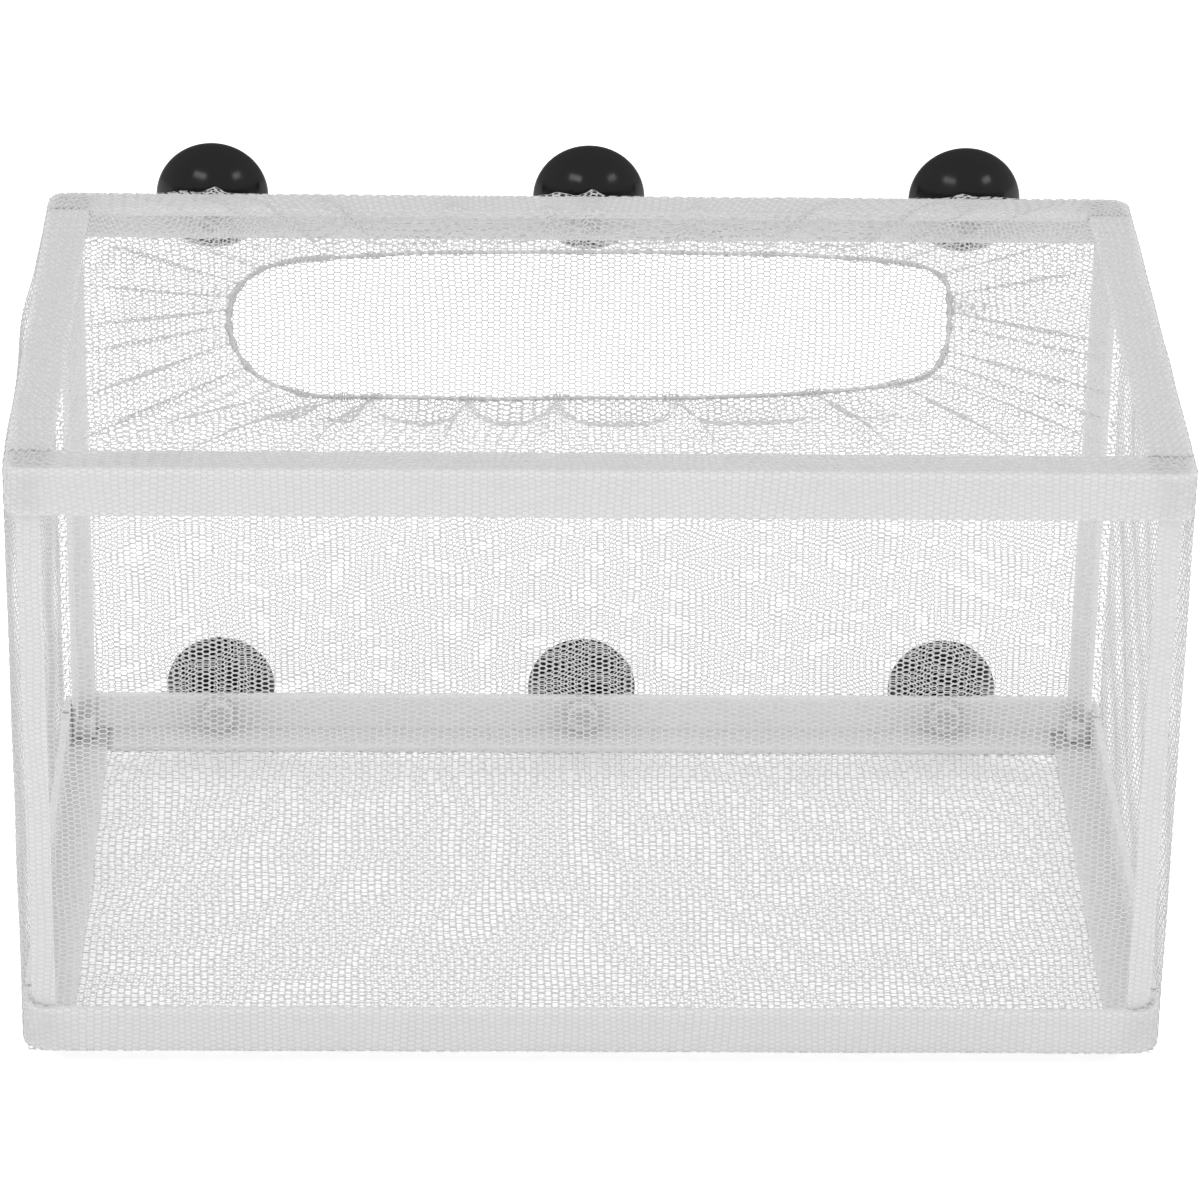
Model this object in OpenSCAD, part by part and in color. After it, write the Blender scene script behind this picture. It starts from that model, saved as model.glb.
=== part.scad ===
// Net breeding box for an aquarium: a knock-down frame of twelve plastic angle strips,
// a net bag pulled over the outside, and six suction cups along the back.
// The origin is the middle of the top middle cup's lip, on the glass that the cups hold.
// The box stands off in front of the glass, towards -Y, and +Z is up.

/* [Frame] */
// Width of the frame over its strips
frame_w = 260; // [200:1:330]
// Depth of the frame, front face to back face
frame_d = 155; // [120:1:200]
// Height of the frame, underside to top face
frame_h = 147; // [110:1:190]
// Thickness of the strips' walls
wall = 1.8; // [1.4:0.1:2.4]
// Height of the strips' upright legs
rail_leg = 11; // [9:0.5:16]
// Width of the top strips' flat legs
top_flange = 10; // [8.2:0.1:15]
// Width of the base strips' flat legs
base_flange = 11; // [8.2:0.1:15]
// Radius of the top corners in plan
top_corner_r = 4; // [3:0.1:7]
// Radius of the base corners in plan
base_corner_r = 6; // [3:0.1:7.5]
// Rounding of the long outer edges
edge_r = 0.9; // [0.3:0.1:1.2]

/* [Corner posts] */
// Width of each leg of a post
post_leg = 5.6; // [4.8:0.1:7]
// Thickness of a post's legs
post_wall = 1.5; // [1.2:0.1:2.2]
// Gap between a post and the strips' upright legs
post_gap = 0.3; // [0.1:0.05:0.4]
// Length of the solid foot at each end of a post
foot_h = 5; // [4:0.5:9]
// Diameter of the corner studs
stud_d = 2.4; // [1.8:0.1:3]
// Length of stud inside a post's foot
stud_depth = 3.5; // [2:0.1:4]
// Radial clearance of a stud in its holes
stud_clearance = 0.08; // [0.04:0.01:0.2]
// Gap round the lapped tongue at a corner
lap_gap = 0.1; // [0.05:0.05:0.3]

/* [Net bag] */
// Thickness of the net as a solid
net_t = 0.4; // [0.3:0.05:0.6]
// Length of the mouth along the box
mouth_w = 165; // [120:1:190]
// Width of the mouth across the box
mouth_d = 81; // [50:1:96]
// How far the middle of the mouth lies behind the middle of the frame
mouth_back = 1.5; // [0:0.5:8]
// Diameter of the rolled hem round the mouth
hem_d = 1.8; // [1.4:0.1:2.4]
// Diameter of the elastic cord in the hem
elastic_d = 0.9; // [0.6:0.05:1.1]

/* [Suction cups] */
// Diameter of a cup at its lip
cup_d = 27.2; // [22:0.1:34]
// Height of a cup from its lip to its shoulder
cup_h = 10.8; // [9:0.1:14]
// Height of the domed part above the lip band
dome_h = 8; // [6.5:0.1:8.5]
// Height of the lip band
lip_h = 0.8; // [0.5:0.1:1.2]
// Width of the flat ring that meets the glass
lip_face = 1; // [0.6:0.1:1.6]
// Depth of the hollow under a cup
hollow_h = 5; // [3:0.1:5.5]
// Diameter of a cup's shoulder
shoulder_d = 9; // [7:0.1:11]
// Diameter of a cup's neck
neck_d = 3.6; // [3:0.1:4.3]
// Diameter of the button that holds a cup in its strip
button_d = 5.2; // [4.6:0.1:6.2]
// Length of the button
button_h = 2.6; // [2:0.1:3.4]
// Thickness of the closed socket round a button, on the inside of the strip
socket_wall = 0.8; // [0.6:0.1:1]
// Distance between neighbouring cups
cup_pitch = 91.5; // [70:0.5:95]
// Depth of the top cups' axes under the top face
top_cup_drop = 5.2; // [5.2:0.1:6.4]
// Depth of the base cups' axes under the upper edge of the base strips
base_cup_drop = 3.8; // [3:0.1:4]
// Radial clearance of a neck in its hole
neck_clearance = 0.05; // [0.02:0.01:0.1]
// Gap that keeps a cup free of the net and the strip
cup_gap = 0.3; // [0.3:0.05:0.5]

/* [Hidden] */
$fn = 64;

// The glass is the plane y = 0, and the frame's back face stands this far in front of it.
cup_stand = cup_h + cup_gap + net_t;
frame_y = -(cup_stand + frame_d / 2);
base_z = top_cup_drop - frame_h;
base_cup_rise = rail_leg - base_cup_drop;
base_cup_z = base_z + base_cup_rise;
neck_hole_r = neck_d / 2 + neck_clearance;
button_room_r = button_d / 2 + cup_gap;
button_room_h = button_h + 2 * cup_gap;
// A post's outer faces lie this far inside the strips' outer faces, and its stud runs up its middle.
post_in = wall + post_gap;
stud_in = post_in + post_leg / 2;
// A post's corner follows the rounder of the strips' corners, and its walls keep their thickness round it.
smallest_r = 0.3;
post_outer_r = max(smallest_r, max(top_corner_r, base_corner_r) - post_in);
post_inner_r = max(smallest_r, post_outer_r - post_wall);
// The flat legs lap at half their thickness at each corner.
lap_t = wall / 2;
stud_h = wall - lap_t + stud_depth;
// Room left past the end of a stud in its foot.
stud_end_gap = 0.5;
// Extra length by which a cutting shape passes through.
past = 1;

frame_colour = "#dfe1e2";
net_colour = "#f3f5f5";
elastic_colour = "#c3c6c8";
rubber_colour = "#1c1c1e";

// ---- Shared outlines ----

// The frame's outline with rounded corners, inset from its outer faces.
module inset_plan(inset, r) {
    w = frame_w - 2 * inset;
    d = frame_d - 2 * inset;
    square([w - 2 * r, d], center = true);
    square([w, d - 2 * r], center = true);
    for (x = [-1, 1], y = [-1, 1])
        translate([x * (w / 2 - r), y * (d / 2 - r)])
            circle(r);
}

// A straight slot with round ends, w long and d wide.
module slot_plan(w, d) {
    square([w - d, d], center = true);
    for (x = [-1, 1])
        translate([x * (w - d) / 2, 0])
            circle(d = d);
}

// Moves a shape drawn about the middle of the frame's underside to the frame's place.
module at_frame() {
    translate([0, frame_y, base_z])
        children();
}

// Turns a base ring piece over, for the top of the frame.
module at_top() {
    at_frame()
        translate([0, 0, frame_h])
            mirror([0, 0, 1])
                children();
}

// ---- Strips: one ring of angle section, cut into four ----

// The rounding that runs along the ring's outer lower edge.
module edge_round(r) {
    for (y = [-1, 1])
        translate([-(frame_w / 2 - r), y * (frame_d / 2 - edge_r), edge_r])
            rotate([0, 90, 0])
                cylinder(r = edge_r, h = frame_w - 2 * r);
    for (x = [-1, 1])
        translate([x * (frame_w / 2 - edge_r), frame_d / 2 - r, edge_r])
            rotate([90, 0, 0])
                cylinder(r = edge_r, h = frame_d - 2 * r);
    for (x = [-1, 1], y = [-1, 1])
        translate([x * (frame_w / 2 - r), y * (frame_d / 2 - r), 0])
            rotate([0, 0, atan2(y, x) - 45])
                rotate_extrude(angle = 90)
                    translate([r - edge_r, edge_r])
                        circle(edge_r);
}

// Upright leg all round, with its foot on the flat leg.
module ring_leg(r) {
    difference() {
        translate([0, 0, edge_r])
            linear_extrude(rail_leg - edge_r)
                inset_plan(0, r);
        linear_extrude(rail_leg + past)
            inset_plan(wall, r - wall);
    }
}

// Flat leg all round, with an edge rounding where it meets the upright leg.
module ring_flange(r, flange) {
    difference() {
        union() {
            translate([0, 0, edge_r])
                linear_extrude(wall - edge_r)
                    inset_plan(0, r);
            linear_extrude(wall)
                inset_plan(edge_r, r - edge_r);
            edge_round(r);
        }
        translate([0, 0, -past])
            linear_extrude(wall + 2 * past)
                square([frame_w - 2 * flange, frame_d - 2 * flange], center = true);
    }
}

module ring(r, flange) {
    ring_leg(r);
    ring_flange(r, flange);
}

// A square in the ring's corner, measured in from its outer faces.
module corner_square(x, y, size) {
    translate([x * (frame_w - size) / 2, y * (frame_d - size) / 2])
        square(size, center = true);
}

// The place at a corner where a side strip's tongue laps over a long strip. gap trims the tongue.
module lap_block(x, y, r, flange, gap) {
    inset = wall + gap;
    translate([0, 0, lap_t])
        linear_extrude(wall - lap_t)
            intersection() {
                inset_plan(inset, r - inset);
                corner_square(x, y, flange);
            }
}

// A front (y = -1) or back (y = 1) strip: it holds both corners and carries a stud in each.
module long_rail(y, r, flange) {
    difference() {
        intersection() {
            ring(r, flange);
            translate([0, y * (frame_d - flange) / 2, 0])
                cube([frame_w + past, flange, 2 * rail_leg + past], center = true);
        }
        for (x = [-1, 1])
            lap_block(x, y, r, flange, 0);
    }
    for (x = [-1, 1])
        translate([x * (frame_w / 2 - stud_in), y * (frame_d / 2 - stud_in), lap_t])
            cylinder(d = stud_d, h = stud_h);
}

// A left (x = -1) or right (x = 1) strip, with a drilled tongue at each end.
module side_rail(x, r, flange) {
    difference() {
        union() {
            intersection() {
                ring(r, flange);
                translate([x * (frame_w - flange) / 2, 0, 0])
                    cube([flange, frame_d - 2 * flange, 2 * rail_leg + past], center = true);
            }
            for (y = [-1, 1])
                lap_block(x, y, r, flange, lap_gap);
        }
        for (y = [-1, 1])
            translate([x * (frame_w / 2 - stud_in), y * (frame_d / 2 - stud_in), -past])
                cylinder(r = stud_d / 2 + stud_clearance, h = wall + 2 * past);
    }
}

// A round shape at each of the three cups' axes, running from the outside of the back leg inward.
// It starts at depth start, and z is the axes' height over the ring's flat face.
module at_cup_axes(z, r, start, length) {
    for (x = [-1, 0, 1])
        translate([x * cup_pitch, frame_d / 2 - start, z])
            rotate([90, 0, 0])
                cylinder(r = r, h = length);
}

// Each button sits in a closed socket, and its neck turns in a hole in the leg.
module back_rail(r, flange, z) {
    difference() {
        union() {
            long_rail(1, r, flange);
            at_cup_axes(z, button_room_r + socket_wall, wall / 2, wall / 2 + button_room_h + socket_wall);
        }
        at_cup_axes(z, button_room_r, wall, button_room_h);
        at_cup_axes(z, neck_hole_r, -past, wall + 2 * past);
    }
}

module top_front_rail() { color(frame_colour) at_top() long_rail(-1, top_corner_r, top_flange); }
module top_back_rail() { color(frame_colour) at_top() back_rail(top_corner_r, top_flange, top_cup_drop); }
module top_left_rail() { color(frame_colour) at_top() side_rail(-1, top_corner_r, top_flange); }
module top_right_rail() { color(frame_colour) at_top() side_rail(1, top_corner_r, top_flange); }
module base_front_rail() { color(frame_colour) at_frame() long_rail(-1, base_corner_r, base_flange); }
module base_back_rail() { color(frame_colour) at_frame() back_rail(base_corner_r, base_flange, base_cup_rise); }
module base_left_rail() { color(frame_colour) at_frame() side_rail(-1, base_corner_r, base_flange); }
module base_right_rail() { color(frame_colour) at_frame() side_rail(1, base_corner_r, base_flange); }

// ---- Corner posts ----

// An angle section with a solid foot at each end, drilled for the strips' studs.
module corner_post(x, y) {
    post_h = frame_h - 2 * wall;
    color(frame_colour)
        at_frame()
            translate([0, 0, wall])
                difference() {
                    linear_extrude(post_h)
                        intersection() {
                            inset_plan(post_in, post_outer_r);
                            corner_square(x, y, post_in + post_leg);
                        }
                    translate([0, 0, foot_h])
                        linear_extrude(post_h - 2 * foot_h)
                            inset_plan(post_in + post_wall, post_inner_r);
                    for (z = [0, post_h])
                        translate([x * (frame_w / 2 - stud_in), y * (frame_d / 2 - stud_in), z])
                            cylinder(
                                r = stud_d / 2 + stud_clearance,
                                h = 2 * (stud_depth + stud_end_gap),
                                center = true
                            );
                }
}

module front_left_post() { corner_post(-1, -1); }
module front_right_post() { corner_post(1, -1); }
module back_left_post() { corner_post(-1, 1); }
module back_right_post() { corner_post(1, 1); }

// ---- Net bag: five flat panels, and a collar drawn in to the mouth ----

// A front (y = -1) or back (y = 1) panel, as wide as the bag.
module wide_panel(y) {
    translate([0, y * (frame_d + net_t) / 2, frame_h / 2])
        cube([frame_w + 2 * net_t, net_t, frame_h], center = true);
}

module side_panel(x) {
    color(net_colour)
        at_frame()
            translate([x * (frame_w + net_t) / 2, 0, frame_h / 2])
                cube([net_t, frame_d, frame_h], center = true);
}

module net_front() { color(net_colour) at_frame() wide_panel(-1); }

// The back panel opens round each neck, so that the cups turn free of it.
module net_back() {
    color(net_colour)
        at_frame()
            difference() {
                wide_panel(1);
                for (x = [-1, 0, 1], z = [base_cup_rise, frame_h - top_cup_drop])
                    translate([x * cup_pitch, frame_d / 2 + net_t + past, z])
                        rotate([90, 0, 0])
                            cylinder(r = neck_d / 2 + cup_gap, h = net_t + 2 * past);
            }
}

module net_left() { side_panel(-1); }
module net_right() { side_panel(1); }

// The flat outline that closes the bag above and below.
module bag_plan() {
    square([frame_w + 2 * net_t, frame_d + 2 * net_t], center = true);
}

module net_floor() {
    color(net_colour)
        at_frame()
            translate([0, 0, -net_t])
                linear_extrude(net_t)
                    bag_plan();
}

module net_collar() {
    color(net_colour)
        at_frame()
            translate([0, 0, frame_h])
                linear_extrude(net_t)
                    difference() {
                        bag_plan();
                        translate([0, mouth_back])
                            slot_plan(mouth_w + 2 * hem_d, mouth_d + 2 * hem_d);
                    }
}

// A closed loop of round section round the mouth. outer and inner are its diameters.
module mouth_loop(outer, inner) {
    loop_r = (mouth_d + hem_d) / 2;
    straight = mouth_w - mouth_d;
    module section() {
        difference() {
            circle(d = outer);
            if (inner > 0)
                circle(d = inner);
        }
    }
    at_frame()
        translate([0, mouth_back, frame_h + net_t / 2]) {
            for (x = [-1, 1])
                translate([x * straight / 2, 0, 0])
                    rotate([0, 0, -x * 90])
                        rotate_extrude(angle = 180)
                            translate([loop_r, 0])
                                section();
            for (y = [-1, 1])
                translate([-straight / 2, y * loop_r, 0])
                    rotate([0, 90, 0])
                        linear_extrude(straight)
                            section();
        }
}

module collar_hem() { color(net_colour) mouth_loop(hem_d, elastic_d); }
module elastic_cord() { color(elastic_colour) mouth_loop(elastic_d, 0); }

// ---- Suction cups ----

// Half of the cup's section: distance from the axis along X, distance from the glass along Y.
module cup_profile() {
    lip_r = cup_d / 2;
    hollow_r = lip_r - lip_face;
    dome_r = (lip_r * lip_r + dome_h * dome_h) / (2 * dome_h);
    hollow_dome_r = (hollow_r * hollow_r + hollow_h * hollow_h) / (2 * hollow_h);
    button_y = cup_stand + wall + cup_gap;
    difference() {
        union() {
            square([lip_r, lip_h]);
            intersection() {
                translate([0, lip_h + dome_h - dome_r])
                    circle(dome_r, $fn = 128);
                translate([0, lip_h])
                    square([lip_r, dome_h]);
            }
        }
        translate([0, hollow_h - hollow_dome_r])
            circle(hollow_dome_r, $fn = 128);
        translate([-cup_d, -cup_d])
            square([2 * cup_d, cup_d]);
    }
    // shoulder, neck, and the button's barrel and lead-in cone
    translate([0, hollow_h + lip_h])
        square([shoulder_d / 2, cup_h - hollow_h - lip_h]);
    translate([0, cup_h - past])
        square([neck_d / 2, button_y - cup_h + 2 * past]);
    polygon([
        [0, button_y], [button_d / 2, button_y], [button_d / 2, button_y + button_h / 3],
        [button_d / 4, button_y + button_h], [0, button_y + button_h]
    ]);
}

// One cup with its axis along Y. column is -1, 0 or 1.
module suction_cup(column, z) {
    color(rubber_colour)
        translate([column * cup_pitch, 0, z])
            rotate([90, 0, 0])
                rotate_extrude($fn = 96)
                    intersection() {
                        cup_profile();
                        square(2 * cup_d);
                    }
}

module top_left_cup() { suction_cup(-1, 0); }
module top_middle_cup() { suction_cup(0, 0); }
module top_right_cup() { suction_cup(1, 0); }
module base_left_cup() { suction_cup(-1, base_cup_z); }
module base_middle_cup() { suction_cup(0, base_cup_z); }
module base_right_cup() { suction_cup(1, base_cup_z); }

top_front_rail();
top_back_rail();
top_left_rail();
top_right_rail();
base_front_rail();
base_back_rail();
base_left_rail();
base_right_rail();
front_left_post();
front_right_post();
back_left_post();
back_right_post();
net_front();
net_back();
net_left();
net_right();
net_floor();
net_collar();
collar_hem();
elastic_cord();
top_left_cup();
top_middle_cup();
top_right_cup();
base_left_cup();
base_middle_cup();
base_right_cup();
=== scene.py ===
# %% [markdown]
# # A net breeding box
# A breeding box keeps newly hatched fish apart from the rest of the tank. It is a frame of plastic
# angle strips with a knitted net bag pulled over it, and six suction cups that hold it to the glass.
# The frame comes in as it was engineered, and this lesson gives it its looks: plastic for the strips,
# real knitted threads for the net, cloth that is gathered by an elastic, and glossy rubber cups.

# %% Load the frame
import math

import bmesh
import bpy
import numpy as np
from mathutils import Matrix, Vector


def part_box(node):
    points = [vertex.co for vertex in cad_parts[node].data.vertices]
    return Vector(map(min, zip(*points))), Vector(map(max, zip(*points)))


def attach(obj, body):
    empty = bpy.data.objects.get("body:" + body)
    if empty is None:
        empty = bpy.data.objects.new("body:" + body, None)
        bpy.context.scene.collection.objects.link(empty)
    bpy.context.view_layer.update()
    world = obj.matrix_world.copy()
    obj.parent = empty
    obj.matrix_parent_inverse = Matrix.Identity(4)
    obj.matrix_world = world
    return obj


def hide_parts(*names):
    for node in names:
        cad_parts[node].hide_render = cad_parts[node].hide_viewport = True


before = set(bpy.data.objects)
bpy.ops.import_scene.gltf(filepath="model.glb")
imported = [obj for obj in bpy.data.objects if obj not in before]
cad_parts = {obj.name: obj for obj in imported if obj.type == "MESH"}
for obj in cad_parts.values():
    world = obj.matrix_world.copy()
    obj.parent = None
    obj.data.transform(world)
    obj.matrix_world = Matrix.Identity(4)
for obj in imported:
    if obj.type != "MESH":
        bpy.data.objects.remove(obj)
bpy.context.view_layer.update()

MM = 0.001

# %% [markdown]
# ## The camera
# A camera decides how every later step is judged, so it is made first. A long lens from a little over
# a metre away keeps the long strips nearly parallel, as in a catalogue picture, and looks down into
# the open mouth.

# %% Camera
lens = bpy.data.cameras.new("camera")
lens.lens = 170.475
lens.sensor_width = 36
camera = bpy.data.objects.new("camera", lens)
camera.location = (-0.0284, -1.2790, 0.53732)
camera.rotation_euler = [math.radians(a) for a in (63.1594, -0.8419, -1.0416)]
bpy.context.collection.objects.link(camera)
bpy.context.scene.camera = camera
bpy.context.scene.view_settings.view_transform = "Standard"
print("camera at", tuple(round(c, 3) for c in camera.location))

# %% [markdown]
# ## Sizes that the soft pieces share
# The net lies on the frame, so its sizes are read from the frame and not typed again. Only what the
# frame can't say, such as how far the threads stand off the plastic, is set here.

# %% Shared sizes
rail_low, rail_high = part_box("top_front_rail")
back_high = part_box("top_back_rail")[1]
base_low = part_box("base_front_rail")[0]
half_w = rail_high.x
half_d = (back_high.y - rail_low.y) / 2
middle_y = (back_high.y + rail_low.y) / 2
top_z, base_z = rail_high.z, base_low.z
rail_leg = rail_high.z - rail_low.z
stand_off = 0.25 * MM


def eased(value, start, length):
    # 0 up to start, 1 from start + length on, and rising evenly in between
    return np.clip((value - start) / length, 0, 1)


print("frame", round(2 * half_w, 4), round(2 * half_d, 4), round(top_z - base_z, 4))

# %% [markdown]
# ## Colour and node helpers
# Colours are picked as screen hex values, but a shader works on linear light, so one function turns
# one into the other. A second one adds a node, fills in its sockets and links it.

# %% Helpers for materials
def linear(code):
    channels = [int(code[i:i + 2], 16) / 255 for i in (1, 3, 5)]
    return [c / 12.92 if c <= 0.04045 else ((c + 0.055) / 1.055) ** 2.4 for c in channels] + [1]


def add(owner, kind, settings=None, **sockets):
    # a socket is named in words, or by its number as i0, i1, where several share a name
    nodes = owner.node_tree.nodes
    node = nodes.new(kind)
    for name, value in (settings or {}).items():
        setattr(node, name, value)
    for name, value in sockets.items():
        numbered = name[0] == "i" and name[1:].isdigit()
        socket = node.inputs[int(name[1:]) if numbered else name.replace("_", " ")]
        if isinstance(value, bpy.types.NodeSocket):
            owner.node_tree.links.new(value, socket)
        else:
            socket.default_value = value
    return node


def new_material(name):
    mat = bpy.data.materials.new(name)
    mat.use_nodes = True
    mat.node_tree.nodes.clear()
    return mat


print("white is", linear("#ffffff"))

# %% [markdown]
# ## Moulded polypropylene
# The strips are extruded or moulded from white polypropylene. It is a waxy plastic: light goes a
# little way in before it comes back, so shadows on it are soft, and the skin is satin with faint
# clouds where the melt flowed. The clouds are a few centimetres across, and the skin's fine grain is
# about 0.4 mm.

# %% Frame plastic
polypropylene = new_material("satin_white_polypropylene")
place = add(polypropylene, "ShaderNodeTexCoord").outputs["Object"]
clouds = add(polypropylene, "ShaderNodeTexNoise", Vector=place, Scale=45, Detail=3, Roughness=0.6)
tone = add(polypropylene, "ShaderNodeMix", {"data_type": "RGBA"},
           i0=clouds.outputs["Fac"], i6=linear("#dedede"), i7=linear("#e6e6e6"))
grain = add(polypropylene, "ShaderNodeTexNoise", Vector=place, Scale=2500, Detail=2)
skin = add(polypropylene, "ShaderNodeBump", Height=grain.outputs["Fac"], Strength=0.12, Distance=0.00005)
sheen = add(polypropylene, "ShaderNodeMapRange", Value=clouds.outputs["Fac"], To_Min=0.42, To_Max=0.54)
plastic = add(polypropylene, "ShaderNodeBsdfPrincipled", Base_Color=tone.outputs["Result"],
              Roughness=sheen.outputs["Result"], Normal=skin.outputs["Normal"], IOR=1.49,
              Subsurface_Weight=1.0, Subsurface_Scale=0.004, Subsurface_Radius=(1, 1, 1))
add(polypropylene, "ShaderNodeOutputMaterial", Surface=plastic.outputs["BSDF"])

strips = [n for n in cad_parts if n.endswith(("_rail", "_post"))]
for name in strips:
    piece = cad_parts[name]
    for material_slot in piece.material_slots:
        material_slot.material = polypropylene
print("plastic on", len(strips), "strips and posts")

# %% [markdown]
# ## Cup rubber
# The cups are pressed from black rubber in a polished mould, so they are glossy where they are clean
# and show each lamp as a small bright spot. They mirror the sky only faintly, so the IOR is set below
# rubber's usual 1.5. Handling leaves slightly duller patches a few millimetres across.

# %% Cup rubber
rubber = new_material("polished_black_rubber")
place = add(rubber, "ShaderNodeTexCoord").outputs["Object"]
handling = add(rubber, "ShaderNodeTexNoise", Vector=place, Scale=140, Detail=4, Roughness=0.55)
dull = add(rubber, "ShaderNodeMapRange", Value=handling.outputs["Fac"], From_Min=0.35, From_Max=0.7,
           To_Min=0.13, To_Max=0.24)
dust = add(rubber, "ShaderNodeMix", {"data_type": "RGBA"},
           i0=handling.outputs["Fac"], i6=linear("#070708"), i7=linear("#0e0e0f"))
press = add(rubber, "ShaderNodeBump", Height=handling.outputs["Fac"], Strength=0.08, Distance=0.0003)
gloss = add(rubber, "ShaderNodeBsdfPrincipled", Base_Color=dust.outputs["Result"],
            Roughness=dull.outputs["Result"], Normal=press.outputs["Normal"], IOR=1.33)
add(rubber, "ShaderNodeOutputMaterial", Surface=gloss.outputs["BSDF"])
print("rubber nodes:", len(rubber.node_tree.nodes))

# %% [markdown]
# ## The section of a cup
# A suction cup is a turned shape: a thin lip, a domed back, a shoulder, and a neck with a button that
# snaps through a hole in the strip. So half of its section is drawn once, as a chain of points from
# the hollow round the lip to the tip of the button.

# %% Section of a cup
# in millimetres: radii from the axis, and heights over the glass
lip_r, lip_h = 13.6, 0.8
lip_face = 1.0
lip_round = 0.15
hollow_h = 5.0
dome_h = 8.0
shoulder_r, shoulder_h = 4.5, 10.8
shoulder_round = 0.3
fillet_w, fillet_h = 0.55, 0.5
fillet_middle_w, fillet_middle_h = 0.18, 0.16
neck_r, neck_h = 1.8, 13.6
neck_fillet = 0.2
button_r, button_h = 2.6, 2.6
edge_round = 0.1
hollow_steps, dome_steps = 14, 40


def arc_of_dome(rim_r, height, base, steps):
    # points on a dome of that rim and height, from the rim up to the axis
    r = (rim_r ** 2 + height ** 2) / (2 * height)
    angles = [math.asin(rim_r / r) * (1 - t / steps) for t in range(steps + 1)]
    return [(r * math.sin(a), base + height - r + r * math.cos(a)) for a in angles]


def cup_section():
    # (radius, height) points, from the middle of the hollow round to the tip of the button
    hollow = arc_of_dome(lip_r - lip_face, hollow_h, 0, hollow_steps)[::-1]
    lip = [(lip_r - lip_face, 0), (lip_r - lip_round, 0), (lip_r, lip_round), (lip_r, lip_h - edge_round)]
    whole_dome = arc_of_dome(lip_r, dome_h, lip_h, dome_steps)
    dome = [(r, h) for r, h in whole_dome[1:] if r > shoulder_r + fillet_w]
    foot = dome[-1][1]
    fillet = [(shoulder_r + fillet_middle_w, foot + fillet_middle_h), (shoulder_r, foot + fillet_h)]
    shoulder = [(shoulder_r, shoulder_h - shoulder_round), (shoulder_r - shoulder_round, shoulder_h)]
    neck = [(neck_r + neck_fillet, shoulder_h), (neck_r, shoulder_h + neck_fillet), (neck_r, neck_h)]
    tip_r, tip_h = button_r / 2, neck_h + button_h
    button = [(button_r - edge_round, neck_h), (button_r, neck_h + edge_round),
              (button_r, neck_h + button_h / 3), (tip_r, tip_h - edge_round),
              (tip_r - edge_round, tip_h), (0, tip_h)]
    return hollow + lip + dome + fillet + shoulder + neck + button


print("a cup's section has", len(cup_section()), "points")

# %% [markdown]
# ## The suction cups
# The section becomes a chain of edges, which is spun about the cup's axis. Edges that are sharp on
# the real cup stay sharp, and the rest is shaded smooth. Each cup is a rubber piece of its own on its
# own swivel.

# %% Suction cups
facets = 96


def piece_from(shell, name, mat, angle=35):
    # edges that turn by more than the angle, in degrees, stay sharp
    mesh = bpy.data.meshes.new(name)
    shell.to_mesh(mesh)
    shell.free()
    mesh.materials.append(mat)
    mesh.shade_smooth()
    mesh.set_sharp_from_angle(angle=math.radians(angle))
    piece = bpy.data.objects.new(name, mesh)
    bpy.context.collection.objects.link(piece)
    return piece


def turned_cup(name, centre):
    shell = bmesh.new()
    chain = [shell.verts.new((r * MM, -height * MM, 0)) for r, height in cup_section()]
    edges = [shell.edges.new(pair) for pair in zip(chain, chain[1:])]
    bmesh.ops.spin(shell, geom=chain + edges, cent=(0, 0, 0), axis=(0, 1, 0), angle=2 * math.pi,
                   steps=facets, use_merge=True, use_duplicate=False)
    bmesh.ops.remove_doubles(shell, verts=shell.verts[:], dist=0.01 * MM)
    bmesh.ops.translate(shell, verts=shell.verts[:], vec=centre)
    bmesh.ops.recalc_face_normals(shell, faces=shell.faces[:])
    return piece_from(shell, name, rubber)


for level in ("top", "base"):
    for column in ("left", "middle", "right"):
        node = f"{level}_{column}_cup"
        low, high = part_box(node)
        centre = Vector(((low.x + high.x) / 2, 0, (low.z + high.z) / 2))
        cup = turned_cup(f"{node}_rubber", centre)
        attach(cup, f"cup_{level}_{column}")
        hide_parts(node)
print("cup faces:", len(cup.data.polygons))

# %% [markdown]
# ## A smooth random wave
# Knitting is never quite even, and a hanging net wavers. Both come from one smooth random wave, which
# is a sum of a few sines with random lengths and slants. A seed makes it the same on every run.

# %% A smooth random wave
def ripple(a, b, seed):
    # waves from 25 to 100 mm long at random slants, added up to a height of about 1
    rng = np.random.default_rng(seed)
    slowest, fastest = 60, 190  # radians per metre
    waves, full_turn = 7, 6.28
    total = 0
    for _ in range(waves):
        p = rng.uniform(slowest, fastest)
        q = rng.uniform(-fastest, fastest)
        start = rng.uniform(0, full_turn)
        size = rng.uniform(0.5, 1)
        total = total + size * np.sin(p * a + q * b + start) / 3
    return total


ripples = ripple(np.linspace(0, 1, 400), 0, 0)
print("a ripple runs from", round(ripples.min(), 2), "to", round(ripples.max(), 2))

# %% [markdown]
# ## The knit
# The net is warp-knitted polyester: columns of stitches with hexagonal holes between them. A picture
# of holes on a flat sheet would look painted, so each thread is real geometry. A honeycomb is made
# from a grid: every other row is shifted by half a cell, each four-sided face is split into two
# triangles, and a bevel of one third on the corner points turns every point and every triangle into a
# hexagon.

# %% A honeycomb
column_step = 1.5508 * MM
stitch_step = 1.22 * MM


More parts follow.
